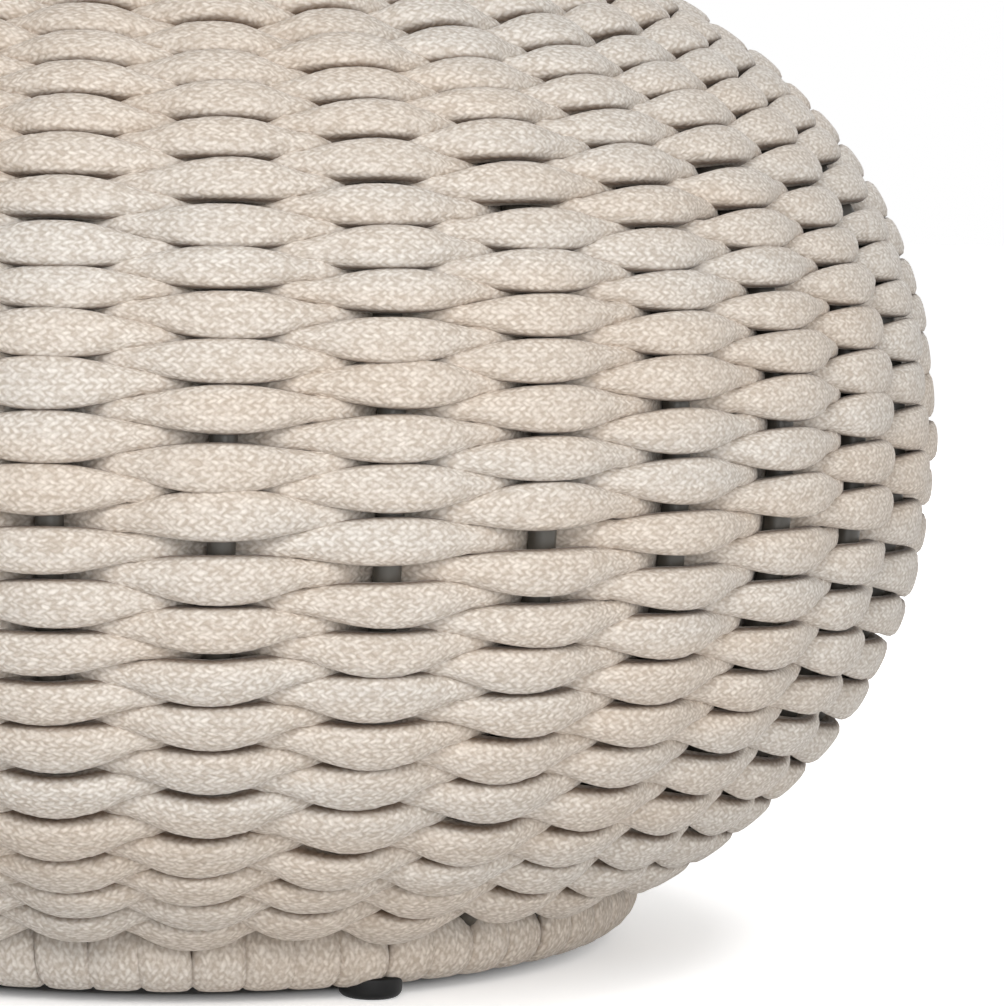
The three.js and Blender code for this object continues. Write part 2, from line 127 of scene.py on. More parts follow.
class Outline:
    """The line that the rope's crowns follow, from the lower rim to beyond the upper one."""

    SAMPLES = 1440

    def __init__(self, sizes):
        self.widest_height = COVER_LOW.z + sizes.rim_drop
        widest = sizes.widest_diameter / 2
        low = math.asin((sizes.rim_drop / sizes.belly_drop) ** (sizes.belly_power / 2))
        angle = np.linspace(-low, math.pi / 2, self.SAMPLES)
        rise = np.where(angle >= 0, sizes.crown_rise, sizes.belly_drop)
        power = np.where(angle >= 0, sizes.crown_power, sizes.belly_power)
        self.radius = widest * np.abs(np.cos(angle)) ** (2 / power)
        self.height = self.widest_height + np.sign(angle) * rise * np.abs(np.sin(angle)) ** (2 / power)
        steps = np.hypot(np.diff(self.radius), np.diff(self.height))
        self.length = np.concatenate([[0], np.cumsum(steps)])

    def at(self, length, inset):
        """Radius and height at a length along the line, moved inwards, and the unit tangent there."""
        reach = 2 * MM
        ahead, behind = length + reach, length - reach
        along_r = np.interp(ahead, self.length, self.radius) - np.interp(behind, self.length, self.radius)
        along_z = np.interp(ahead, self.length, self.height) - np.interp(behind, self.length, self.height)
        size = np.hypot(along_r, along_z)
        along_r, along_z = along_r / size, along_z / size
        radius = np.interp(length, self.length, self.radius)
        height = np.interp(length, self.length, self.height)
        return radius - inset * along_z, height + inset * along_r, along_r, along_z

    def length_at_radius(self, radius):
        """The length at which the upper half narrows to a radius."""
        upper = self.height > self.widest_height
        return float(np.interp(-radius, -self.radius[upper], self.length[upper]))


class Courses:
    """How the courses of rope lie, from the lower rim upwards. They aren't even: a few stand open.

    A level counts the courses above the lower rim, and a bay the bars round the stool. Both may lie
    between whole numbers.
    """

    LEVELS = (0, 2, 4, 6, 8, 10, 12, 16, 18, 20, 22, 26, 30, 33, 35, 39, 42, 45, 58)
    # From one course to the next, in mm, before all are stretched alike to reach the upper rim
    SPACINGS = (
        11.6, 10.4, 9.3, 10.2, 11.9, 10.6, 9.6, 9.3, 9.7, 10.5, 9.6, 9.2, 8.1, 8.5, 9.4, 8.4, 8.7, 9.6, 9.6
    )
    # Half the height of a crown as a share of that spacing: 1 where the crowns of a bar touch
    FILLS = (
        0.97, 0.97, 0.97, 0.95, 0.88, 0.85, 0.95, 0.88, 0.88, 0.85,
        0.92, 0.99, 1.0, 0.95, 0.9, 0.98, 0.99, 0.99, 0.98,
    )
    # On one side the lower courses lie a little higher, in mm
    LEAN_LEVELS = (0, 6, 10, 14, 20, 24, 40, 58)
    LEANS = (0, 6.0, 4.5, 3.2, 2.4, 0, -1.0, 0)
    LEAN_BAY = 24
    # The crowns of the upper courses are pulled down a little over the bars, in mm
    SLUMP_LEVELS = (22, 32, 58)
    SLUMPS = (0, 2.2, 2.2)
    # Bar, level and extra height in mm of the places where two crowns stand well apart
    OPEN_PLACES = (
        (24, 20.0, 3.0), (26, 20.1, 2.2), (25, 19.1, 1.6), (23, 18.9, 1.0), (27, 19.2, 1.2),
        (24, 34.0, 2.6), (26, 34.1, 2.2), (24, 10.0, 1.2), (27, 23.2, 1.4), (4, 19.8, 2.6),
        (9, 21.1, 2.2), (13, 18.9, 2.8), (17, 33.1, 2.0),
    )
    # How far such a place reaches, in bays along the courses and in courses above and below
    OPEN_BAYS = 0.45
    OPEN_COURSES = 1.2
    SAMPLES = 631

    def __init__(self, sizes, outline):
        # From below the lower rim to past the end of the ropes under the coil
        level = np.linspace(-1, sizes.courses + 4, self.SAMPLES)
        spacing = smooth_interp(level, self.LEVELS, self.SPACINGS)
        grown = np.concatenate([[0], np.cumsum((spacing[1:] + spacing[:-1]) / 2 * np.diff(level))])
        grown -= np.interp(0, level, grown)
        rim = outline.length_at_radius(sizes.top_rim_diameter / 2)
        scale = rim / np.interp(sizes.courses, level, grown)
        self.level = level
        self.length = grown * scale

    def length_at(self, level, bay):
        """How far up the outline a course lies at a bay."""
        lean = smooth_interp(level, self.LEAN_LEVELS, self.LEANS) * MM
        return np.interp(level, self.level, self.length) + lean * np.sin((bay - self.LEAN_BAY) * BAY)

    def spacing_at(self, level, bay):
        """How far apart the courses lie at a level and a bay."""
        return self.length_at(level + 0.5, bay) - self.length_at(level - 0.5, bay)

    def slump_at(self, level):
        """How far the crowns of a level are pulled down."""
        return smooth_interp(level, self.SLUMP_LEVELS, self.SLUMPS) * MM

    def fill_at(self, level):
        """The share of the spacing that half a crown takes up."""
        return smooth_interp(level, self.LEVELS, self.FILLS)

    def open_shift(self, level, bay):
        """How far the open places push a course up or down."""
        shift = np.zeros_like(level)
        for bar, middle, height in self.OPEN_PLACES:
            away = (bay - bar + len(RIB_NODES) / 2) % len(RIB_NODES) - len(RIB_NODES) / 2
            above = level - middle
            beyond = np.maximum(np.abs(above) - 1, 0)
            reach = np.exp(-((away / self.OPEN_BAYS) ** 2) - (beyond / self.OPEN_COURSES) ** 2)
            shift += height * MM / 2 * np.clip(above, -1, 1) * reach
        return shift


def smooth_interp(x, places, values):
    """Values between given ones, eased so that no corner shows."""
    places, values = np.asarray(places, float), np.asarray(values, float)
    i = np.clip(np.searchsorted(places, x) - 1, 0, len(places) - 2)
    share = np.clip((x - places[i]) / (places[i + 1] - places[i]), 0, 1)
    share = share * share * (3 - 2 * share)
    return values[i] + (values[i + 1] - values[i]) * share


def unit(vectors):
    """Vectors brought to a length of 1."""
    return vectors / np.linalg.norm(vectors, axis=1, keepdims=True)


def drift(random, count, every, size):
    """A slow random wander of count values, with a fresh value at every so many steps."""
    knots = random.normal(0, size, count // every + 3)
    return smooth_interp(np.arange(count) / every, np.arange(len(knots)), knots)


def new_object(name, mesh):
    """An object of that data in the scene."""
    piece = bpy.data.objects.new(name, mesh)
    bpy.context.scene.collection.objects.link(piece)
    return piece


def new_mesh(name, vertices, faces):
    """A smooth mesh."""
    mesh = bpy.data.meshes.new(name)
    mesh.from_pydata(vertices, [], faces)
    mesh.polygons.foreach_set("use_smooth", [True] * len(mesh.polygons))
    return mesh


def section_points(half_width, half_depth, fullness, ring):
    """Points of each section of a rope, at the shares of the way round it that ring gives."""
    count = len(half_width)
    power = 2 / np.broadcast_to(fullness, (count,))[:, None]
    # A point to each degree, from which even steps of the way round are read
    fine = np.linspace(0, TURN, 361)[None, :]
    x = half_width[:, None] * np.sign(np.cos(fine)) * np.abs(np.cos(fine)) ** power
    y = half_depth[:, None] * np.sign(np.sin(fine)) * np.abs(np.sin(fine)) ** power
    steps = np.hypot(np.diff(x, axis=1), np.diff(y, axis=1))
    way = np.concatenate([np.zeros((count, 1)), np.cumsum(steps, axis=1)], axis=1)
    way /= way[:, -1:]
    across = [np.interp(ring, way[i], x[i]) for i in range(count)]
    out = [np.interp(ring, way[i], y[i]) for i in range(count)]
    return np.array(across), np.array(out)


def tube_faces(count, sides):
    """Faces of a tube of count rings, and of its two ends, whose middles come after the rings."""
    i, j = np.meshgrid(np.arange(count - 1), np.arange(sides), indexing="ij")
    k = (j + 1) % sides
    here, there = i * sides, (i + 1) * sides
    quads = np.stack([here + j, there + j, there + k, here + k], -1).reshape(-1, 4)
    cap, next_cap = np.arange(sides), (np.arange(sides) + 1) % sides
    start, end, last_ring = count * sides, count * sides + 1, (count - 1) * sides
    first = np.stack([np.full(sides, start), cap, next_cap], -1)
    last = np.stack([np.full(sides, end), last_ring + next_cap, last_ring + cap], -1)
    return quads.tolist() + first.tolist() + last.tolist()


def add_tube_maps(mesh, middle, turn, sides, girth):
    """Adds the rope's own map and the one that it is baked by.

    The map rope_run holds the length along the rope and the share of the way round it, moved on by turn.
    The map OFBake lays the rope out in rows that fill a square.
    """
    # Share of a row that stays free at each of its sides
    margin = 0.03
    i, j = np.meshgrid(np.arange(len(middle) - 1), np.arange(sides), indexing="ij")
    run = np.concatenate([[0], np.cumsum(np.linalg.norm(np.diff(middle, axis=0), axis=1))])
    along = np.stack([run[i], run[i + 1], run[i + 1], run[i]], -1)
    round_share = np.stack([j, j, j + 1, j + 1], -1) / sides
    twist = np.stack([turn[i], turn[i + 1], turn[i + 1], turn[i]], -1)
    caps = np.zeros((2 * sides * 3, 2))
    caps[sides * 3 :, 0] = run[-1]
    own = np.concatenate([np.stack([along, round_share + twist], -1).reshape(-1, 2), caps])

    rows = max(1, round(math.sqrt(run[-1] / girth)))
    row_length = run[-1] / rows
    row = np.minimum((run[i] / row_length).astype(int), rows - 1)[..., None]
    row_share = margin + (1 - 2 * margin) * round_share
    packed = np.stack([np.clip(along / row_length - row, 0, 1), (row + row_share) / rows], -1)
    packed = np.concatenate([packed.reshape(-1, 2), np.zeros_like(caps)])
    for layer, places in (("rope_run", own), ("OFBake", packed)):
        mesh.uv_layers.new(name=layer).uv.foreach_set("vector", places.astype(np.float32).ravel())
    mesh.uv_layers["rope_run"].active = True


def tube_mesh(
    name, middle, side, outward, half_width, half_depth, girth, turn=None, sides=18, fullness=2.0
):
    """A closed rope along middle. Its section is half_width along side and half_depth along outward, and
    goes from an oval towards a flat band as fullness grows from 2.

    The attribute flank is 1 at the two edges of the section, where the rope meets its neighbours, and 0
    half-way between them.
    """
    count = len(middle)
    ring = np.arange(sides) / sides
    across, out = section_points(half_width, half_depth, fullness, ring)
    points = middle[:, None] + across[..., None] * side[:, None] + out[..., None] * outward[:, None]
    vertices = np.concatenate([points.reshape(-1, 3), middle[:1], middle[-1:]])
    mesh = new_mesh(name, vertices.tolist(), tube_faces(count, sides))
    add_tube_maps(mesh, middle, np.zeros(count) if turn is None else turn, sides, girth)
    flank = np.append(np.tile(np.abs(2 * ring % 1 - 0.5) * 2, count), [1, 1])
    mesh.attributes.new("flank", "FLOAT", "POINT").data.foreach_set("value", flank.astype(np.float32))
    return mesh


def rounded_ends(half_width, half_depth, steps=4):
    """Narrows a rope's first and last few sections, so that its ends are rounded off."""
    ease = np.sqrt(1 - (1 - (np.arange(steps) + 0.5) / steps) ** 2)
    shape = np.ones(len(half_width))
    shape[:steps] = ease
    shape[-steps:] = ease[::-1]
    return half_width * shape, half_depth * shape


def path_frames(middle, up):
    """Unit vectors across a path: one nearly along up, and one square to it that points outward."""
    run = unit(np.gradient(middle, axis=0))
    side = unit(up - (up * run).sum(1, keepdims=True) * run)
    return side, np.cross(run, side)


class Weave:
    """One of the two ropes that climb round the cage, over one bar and under the next."""

    STEPS_PER_BAY = 10
    # Pulled tight, the rope runs nearly straight from one bar to the next, a little outside the cage
    STRAIGHTEN = 0.13
    OUTSIDE = 0.18
    # Half the rope's height half-way between two bars, as a share of the spacing
    NARROW = 0.515
    # How soon the rope grows narrow, and how soon it grows thick, on its way from a bar
    NARROWING = 1.15
    THICKENING = 5
    # Fullness of its section half-way between two bars, and how much more it has at a bar
    FULLNESS = 2.2
    FLATTENING = 0.7
    # How far it strays: inwards, along the outline, round the stool in radians, in its height as a share,
    # and in its twist in turns
    STRAY_IN = 0.5 * MM
    STRAY_ALONG = 0.7 * MM
    STRAY_ROUND = 0.007
    STRAY_HEIGHT = 0.045
    STRAY_TWIST = 0.12
    # How deep it dives under the coil, and over which levels, counted from the upper rim
    TUCK = 5 * MM
    TUCK_START, TUCK_END = -0.5, 1

    def __init__(self, sizes, outline, courses, seed):
        self.sizes, self.outline, self.courses = sizes, outline, courses
        self.random = np.random.default_rng(seed)

    def mesh(self, name, first_bay, last_bay, start_level, over_at_even):
        """The rope from one bay to another. It climbs two courses in a turn."""
        sizes = self.sizes
        count = (last_bay - first_bay) * self.STEPS_PER_BAY + 1
        wander = partial(drift, self.random, count, self.STEPS_PER_BAY)
        bay = np.linspace(first_bay, last_bay, count)
        level = start_level + 2 * bay / len(RIB_NODES)
        over = 1 if over_at_even else -1
        near_bar = np.abs(np.cos(math.pi * bay))
        wave = np.cos(math.pi * bay) + self.STRAIGHTEN * np.cos(3 * math.pi * bay)
        wave *= over / (1 + self.STRAIGHTEN)
        slump = self.courses.slump_at(level) * wave
        wave = wave + self.OUTSIDE * (1 - wave**2)

        place = self.courses.length_at(level, bay)
        spacing = self.courses.spacing_at(level, bay)
        swing = (sizes.bar_diameter + sizes.rope_over_bar) / 2
        rib_inset = sizes.rope_over_bar + sizes.bar_diameter / 2
        radius = np.interp(place, self.outline.length, self.outline.radius)
        flat_pull = radius * (1 - math.cos(BAY / 2)) * np.sin(math.pi * bay) ** 2
        tuck = smooth_interp(level - sizes.courses, (self.TUCK_START, self.TUCK_END), (0, self.TUCK))
        inset = rib_inset - swing * wave + flat_pull + tuck + wander(self.STRAY_IN)
        length = place - slump + self.courses.open_shift(level, bay) + wander(self.STRAY_ALONG)
        r, z, along_r, along_z = self.outline.at(length, inset)
        angle = bay * BAY + wander(self.STRAY_ROUND)
        middle = np.stack([r * np.cos(angle), r * np.sin(angle), z], 1)
        up = np.stack([along_r * np.cos(angle), along_r * np.sin(angle), along_z], 1)

        # Wide over and under the bars, and narrow between its neighbours half-way. It is thin only at the bar
        flatness = near_bar**self.NARROWING
        full = spacing * self.courses.fill_at(level)
        narrow = spacing * self.NARROW
        half_width = (narrow + (full - narrow) * flatness) * (1 + wander(self.STRAY_HEIGHT))
        thick, thin = sizes.rope_between_bars / 2, sizes.rope_over_bar / 2
        half_depth = thick + (thin - thick) * near_bar**self.THICKENING
        half_width, half_depth = rounded_ends(half_width, half_depth)
        side, outward = path_frames(middle, up)
        turn = drift(self.random, count, 4 * self.STEPS_PER_BAY, self.STRAY_TWIST)
        fullness = self.FULLNESS + self.FLATTENING * flatness
        return tube_mesh(
            name, middle, side, outward, half_width, half_depth, sizes.rope_girth, turn, fullness=fullness
        )


def add_node(tree, kind, settings=None, **links):
    """Adds a node. settings are its own properties; links set its sockets to a value or another socket.

    A socket is named with underscores for spaces, or as i and its number.
    """
    node = tree.nodes.new("ShaderNode" + kind)
    for key, value in (settings or {}).items():
        setattr(node, key, value)
    for key, value in links.items():
        numbered = key[0] == "i" and key[1:].isdigit()
        socket = node.inputs[int(key[1:]) if numbered else key.replace("_", " ")]
        if isinstance(value, bpy.types.NodeSocket):
            tree.links.new(value, socket)
        else:
            socket.default_value = value
    return node


MULTIPLY, ADD, SUBTRACT, SINE = ({"operation": name} for name in ("MULTIPLY", "ADD", "SUBTRACT", "SINE"))
MULTIPLY_ADD, MAXIMUM = ({"operation": name} for name in ("MULTIPLY_ADD", "MAXIMUM"))
BLEND_COLOURS = {"data_type": "RGBA"}
MULTIPLY_COLOURS = {"data_type": "RGBA", "blend_type": "MULTIPLY"}

# Painted shade: what the gaps between stitches, and the edges of the rope, keep of its colour where shade
# would fall
STITCH_GAP_PAINTED_SHADE = linear("#F1EFEC")
ROPE_EDGE_PAINTED_SHADE = linear("#8E8074")


def new_material(name):
    """A material with its nodes and its shader."""
    material = bpy.data.materials.new(name)
    material.use_nodes = True
    tree = material.node_tree
    return material, tree, tree.nodes["Principled BSDF"]


def braid_stitches(add, sizes, coords):
    """How high the braid's stitches stand, from 0 in the gaps to 1 on their tops, and what names each.

    Two families of yarn cross on a slanted lattice, each over two of the other and under two.
    """
    run = add("UVMap", {"uv_map": "rope_run"}).outputs["UV"]

    # Hand-like unevenness: the lattice wanders by up to about a stitch, and turns every few millimetres
    wander_size = 6 * MM
    loose = add("TexNoise", Vector=coords, Scale=1 / wander_size, Detail=1.0).outputs["Color"]
    shift = add("SeparateXYZ", Vector=loose)
    place = add("SeparateXYZ", Vector=run)
    along = add("Math", {"operation": "DIVIDE"}, i0=place.outputs["X"], i1=sizes.stitch_length).outputs[0]
    along = add("Math", MULTIPLY_ADD, i0=shift.outputs["X"], i1=1.3, i2=along).outputs[0]
    rows = add("Math", MULTIPLY, i0=place.outputs["Y"], i1=sizes.braid_rows).outputs[0]
    rows = add("Math", MULTIPLY_ADD, i0=shift.outputs["Y"], i1=1.1, i2=rows).outputs[0]

    # Which family lies on top at a point, and how far the point is across and along its stitch
    right = add("Math", ADD, i0=along, i1=rows).outputs[0]
    left = add("Math", SUBTRACT, i0=along, i1=rows).outputs[0]
    right_cell = add("Math", {"operation": "FLOOR"}, i0=right).outputs[0]
    left_cell = add("Math", {"operation": "FLOOR"}, i0=left).outputs[0]
    right_part = add("Math", SUBTRACT, i0=right, i1=right_cell).outputs[0]
    left_part = add("Math", SUBTRACT, i0=left, i1=left_cell).outputs[0]
    apart = add("Math", SUBTRACT, i0=right_cell, i1=left_cell).outputs[0]
    phase = add("Math", {"operation": "FLOORED_MODULO"}, i0=apart, i1=4.0).outputs[0]
    is_left = add("Math", {"operation": "GREATER_THAN"}, i0=phase, i1=1.5).outputs[0]
    back = add("Math", SUBTRACT, i0=3.0, i1=phase).outputs[0]
    right_run = add("Math", ADD, i0=right_part, i1=phase).outputs[0]
    left_run = add("Math", ADD, i0=left_part, i1=back).outputs[0]
    across = add("Mix", i0=is_left, i2=left_part, i3=right_part).outputs[0]
    down = add("Mix", i0=is_left, i2=right_run, i3=left_run).outputs[0]
    across_arch = add("Math", SINE, i0=add("Math", MULTIPLY, i0=across, i1=math.pi).outputs[0]).outputs[0]
    down_arch = add("Math", SINE, i0=add("Math", MULTIPLY, i0=down, i1=math.pi / 2).outputs[0]).outputs[0]
    stitch = add("Math", MULTIPLY, i0=across_arch, i1=down_arch).outputs[0]

    # A stitch is named by its yarn, the place where it starts and its family
    right_start = add("Math", SUBTRACT, i0=right_cell, i1=phase).outputs[0]
    left_start = add("Math", SUBTRACT, i0=left_cell, i1=back).outputs[0]
    name_x = add("Mix", i0=is_left, i2=left_cell, i3=right_cell).outputs[0]
    name_y = add("Mix", i0=is_left, i2=right_start, i3=left_start).outputs[0]
    return stitch, add("CombineXYZ", X=name_x, Y=name_y, Z=is_left).outputs[0]


def braided_olefin(sizes, colours):
    """Olefin yarn dyed before it is spun, braided into a soft rope.

    It looks matt and heathered: rows of small soft stitches that lean one way and then the other, cream
    flecks on their tops, and long stretches of the rope that are a little warmer or greyer.
    """
    material, tree, shader = new_material("braided_olefin_rope")
    add = partial(add_node, tree)
    coords = add("TexCoord").outputs["Object"]
    stitch, stitch_name = braid_stitches(add, sizes, coords)

    # The tops of the stitches catch cream flecks, some more than others, over the yarn's heather, which is
    # drawn coarser than it is so that it shows
    heather_size = 2 * MM
    fleck = add("TexWhiteNoise", {"noise_dimensions": "3D"}, Vector=stitch_name).outputs["Value"]
    top = add("Math", MULTIPLY, i0=stitch, i1=stitch).outputs[0]
    fleck = add("Math", MULTIPLY, i0=fleck, i1=top).outputs[0]
    heather = add("TexNoise", Vector=coords, Scale=1 / heather_size, Detail=1.0).outputs["Fac"]
    heather = add("Math", MULTIPLY_ADD, i0=heather, i1=1.7, i2=-0.46).outputs[0]
    tone = add("Math", MULTIPLY_ADD, i0=fleck, i1=0.5, i2=heather).outputs[0]
    darker = add("MapRange", Value=tone, From_Min=0.55, From_Max=0.2).outputs[0]
    lighter = add("MapRange", Value=tone, From_Min=0.55, From_Max=1.0).outputs[0]
    yarn = add("Mix", BLEND_COLOURS, i0=darker, i6=colours.rope, i7=colours.rope_dark).outputs[2]
    yarn = add("Mix", BLEND_COLOURS, i0=lighter, i6=yarn, i7=colours.rope_light).outputs[2]

    # Stretches of warmer rope follow the courses, so they are long sideways and low
    long_way, high = 190 * MM, 34 * MM
    stretch = add("Mapping", Vector=coords, Scale=(1 / long_way, 1 / long_way, 1 / high)).outputs[0]
    patch = add("TexNoise", Vector=stretch, Scale=1.0, Detail=2.0).outputs["Fac"]
    warmth = add("MapRange", Value=patch, From_Min=0.4, From_Max=0.62, To_Max=0.9).outputs[0]
    tint = add("Mix", BLEND_COLOURS, i0=warmth, i6=WHITE, i7=colours.rope_warm).outputs[2]
    yarn = add("Mix", MULTIPLY_COLOURS, i0=1.0, i6=yarn, i7=tint).outputs[2]

    # Painted shade: the gaps between the stitches are darkened a little, and the stitches stand up from them
    stitch_relief = 0.7 * MM
    painted_crevice_shade = add("MapRange", Value=stitch, From_Max=0.6, To_Min=1.0, To_Max=0.0).outputs[0]
    yarn = add("Mix", MULTIPLY_COLOURS, i0=painted_crevice_shade, i6=yarn, i7=STITCH_GAP_PAINTED_SHADE).outputs[2]
    bump = add("Bump", Height=stitch, Distance=stitch_relief, Strength=0.3).outputs[0]

    # Painted shade: the edges that lie against the next course are darkened, as they would stay in shade
    flank = add("Attribute", {"attribute_name": "flank"}).outputs["Fac"]
    painted_edge_shade = add("MapRange", {"interpolation_type": "SMOOTHSTEP"}, Value=flank, From_Min=0.66).outputs[0]
    colour = add("Mix", MULTIPLY_COLOURS, i0=painted_edge_shade, i6=yarn, i7=ROPE_EDGE_PAINTED_SHADE).outputs[2]

    tree.links.new(colour, shader.inputs["Base Color"])
    tree.links.new(bump, shader.inputs["Normal"])
    shader.inputs["Roughness"].default_value = 0.85
    shader.inputs["Sheen Weight"].default_value = 0.15
    shader.inputs["Sheen Roughness"].default_value = 0.5
    shader.inputs["Specular IOR Level"].default_value = 0.25
    return material


def mixed(first, second, share):
    """A colour between two."""
    return [a + (b - a) * share for a, b in zip(first, second)]


def grained_finish(name, colour, darkening, grain_size, grain_depth, tone_size, roughness, specular=0.5):
    """A plain finish in one colour, with a fine grain in relief and a slow change of tone."""
    material, tree, shader = new_material(name)
    add = partial(add_node, tree)
    coords = add("TexCoord").outputs["Object"]
    grain = add("TexNoise", Vector=coords, Scale=1 / grain_size, Detail=2.0).outputs["Fac"]
    bump = add("Bump", Height=grain, Distance=grain_depth, Strength=0.6).outputs[0]
    broad = add("TexNoise", Vector=coords, Scale=1 / tone_size).outputs["Fac"]
    share = add("MapRange", Value=broad, From_Min=0.3, From_Max=0.7).outputs[0]
    darker = mixed(colour, BLACK, darkening)
    tone = add("Mix", BLEND_COLOURS, i0=share, i6=darker, i7=colour).outputs[2]
    tree.links.new(tone, shader.inputs["Base Color"])
    tree.links.new(bump, shader.inputs["Normal"])
    shader.inputs["Roughness"].default_value = roughness
    shader.inputs["Specular IOR Level"].default_value = specular
    return material


def powder_coat(colours):
    """Aluminium bar, sprayed with powder and baked: a matt grey skin with a faint orange peel."""
    return grained_finish(
        "powder_coated_aluminium",
        colours.bar,
        darkening=0.12,
        grain_size=1.2 * MM,
        grain_depth=0.05 * MM,
        tone_size=30 * MM,
        roughness=0.4,
    )


def moulded_nylon(colours):
    """Nylon moulded in a finely textured tool: black, with a low sheen.

    The texture is drawn coarser than it is, so that it shows.
    """
    return grained_finish(
        "moulded_black_nylon",
        colours.glide,
        darkening=0.2,
        grain_size=0.8 * MM,
        grain_depth=0.04 * MM,
        tone_size=6 * MM,
        roughness=0.5,
        specular=0.25,
    )


def material_of(name, make):
    """The material of that name, made on first use."""
    return bpy.data.materials.get(name) or make()


def rope_material(scene):
    """The rope's finish."""
    return material_of(
        "braided_olefin_rope", lambda: braided_olefin(scene.footstool_sizes, scene.footstool_colours)
    )


def bar_material(scene):
    """The bars' finish."""
    return material_of("powder_coated_aluminium", lambda: powder_coat(scene.footstool_colours))


def glide_material(scene):
    """The glides' finish."""
    return material_of("moulded_black_nylon", lambda: moulded_nylon(scene.footstool_colours))


def finish_piece(piece, material, slot, *nodes):
    """Gives a piece its finish, seats it on the stool and hides the CAD nodes that it stands for."""
    piece.data.materials.append(material)
    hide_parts(*nodes)
    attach(piece, "root")


class FOOTSTOOL_OT_weave(bpy.types.Operator):
    """Weave the two ropes round the cage"""

    bl_idname = "footstool.weave"
    bl_label = "Woven rope"

    # The first rope's level at bay 0 if it ran down that far, and the level that the ropes start from
    BASE_LEVEL = -1.5
    START_LEVEL = 0.3
    # Each rope is joined once, behind a bar above the waist
    JOINT_LEVEL = 30
    # The last turn lies under the coil
    END_LEVEL = 60
    # Name, courses above the first rope, whether it lies over the first bar, and the seed of its wander
    ROPES = (("first", 0, False, 11), ("second", 1, True, 12))

    def execute(self, context):
        sizes = context.scene.footstool_sizes
        outline = Outline(sizes)
        courses = Courses(sizes, outline)
        for label, extra, over_at_even, seed in self.ROPES:
            weave = Weave(sizes, outline, courses, seed)
            base_level = self.BASE_LEVEL + extra
            bays = [
                behind_bar(math.ceil((level - base_level) * len(RIB_NODES) / 2), over_at_even)
                for level in (self.START_LEVEL, self.JOINT_LEVEL, self.END_LEVEL)
            ]
            for part, first, last in (("lower", *bays[:2]), ("upper", *bays[1:])):
                name = f"{label}_rope_{part}"
                mesh = weave.mesh(name, first, last, base_level, over_at_even)
                finish_piece(new_object(name, mesh), rope_material(context.scene), "rope", "woven_cover")
        return {"FINISHED"}


def behind_bar(bay, over_at_even):
    """The nearest bay at or after one at which the rope passes behind a bar."""
    return bay + 1 if (bay % 2 == 0) == over_at_even else bay


class FOOTSTOOL_OT_lashing(bpy.types.Operator):
    """Wind the rope round the base hoop"""

    bl_idname = "footstool.lashing"
    bl_label = "Base lashing"

    STEPS = 24
    SEED = 21
    # Soft rope stands a little fuller than its solid, and hangs a little below the hoop
    LOFT = 1.2 * MM
    SAG = 0.5 * MM
    # Each wrap goes straight round, and steps on to the next behind the hoop: shares of the turn and step
    STEP_TURNS = (0, 0.62, 1)
    STEP_SHARES = (0, 0.15, 1)
    # Where a bar stands between them, two wraps move apart by this share of a wrap, and grow narrower
    PARTING = 0.16
    NARROWING = 0.2
    # Width of the rope in wraps, and the fullness of its section
    WIDTH = 1.11
    FULLNESS = 3.8
    # How far it strays in its radius, and along the hoop in radians
    STRAY_OUT = 0.2 * MM
    STRAY_ALONG = 0.007

    def execute(self, context):
        sizes = context.scene.footstool_sizes
        random = np.random.default_rng(self.SEED)
        bar_radius = sizes.bar_diameter / 2
        hoop_radius = (HOOP_HIGH.x - HOOP_LOW.x) / 2 - bar_radius
        hoop_height = (HOOP_HIGH.z + HOOP_LOW.z) / 2 - self.SAG
        wraps = len(RIB_NODES) * sizes.wraps_per_bay
        count = wraps * self.STEPS + 1
        turn = np.linspace(0, wraps, count)
        rope_half = ((LASHING_HIGH.z - LASHING_LOW.z) / 2 - bar_radius + self.LOFT) / 2
        radius = bar_radius + rope_half + drift(random, count, self.STEPS, self.STRAY_OUT)
        pitch = TURN / wraps
        # The wraps part at the bars, which stand on the top of the hoop: 1 there, and soon 0 on both sides
        top_share = (0.5 + 0.5 * np.cos(TURN * turn)) ** 3
        beside = np.where(np.round(turn) % sizes.wraps_per_bay == 0, 1, -1)
        place = np.floor(turn) + 0.5 + smooth_interp(turn % 1, self.STEP_TURNS, self.STEP_SHARES)
        along = (place + beside * top_share * self.PARTING) * pitch
        along = along + drift(random, count, self.STEPS, self.STRAY_ALONG)
        section_angle = math.pi / 2 - TURN * turn
        r = hoop_radius + radius * np.cos(section_angle)
        z = hoop_height + radius * np.sin(section_angle)
        middle = np.stack([r * np.cos(along), r * np.sin(along), z], 1)
        up = np.stack([-np.sin(along), np.cos(along), np.zeros(count)], 1)
        side, outward = path_frames(middle, up)
        half_width = r * pitch / 2 * (self.WIDTH - self.NARROWING * top_share)
        half_depth = np.full(count, rope_half)
        girth = sizes.rope_girth
        mesh = tube_mesh(
            "lashing_rope", middle, side, outward, half_width, half_depth, girth, fullness=self.FULLNESS
        )
        finish_piece(new_object("lashing_rope", mesh), rope_material(context.scene), "rope", "base_lashing")
        return {"FINISHED"}


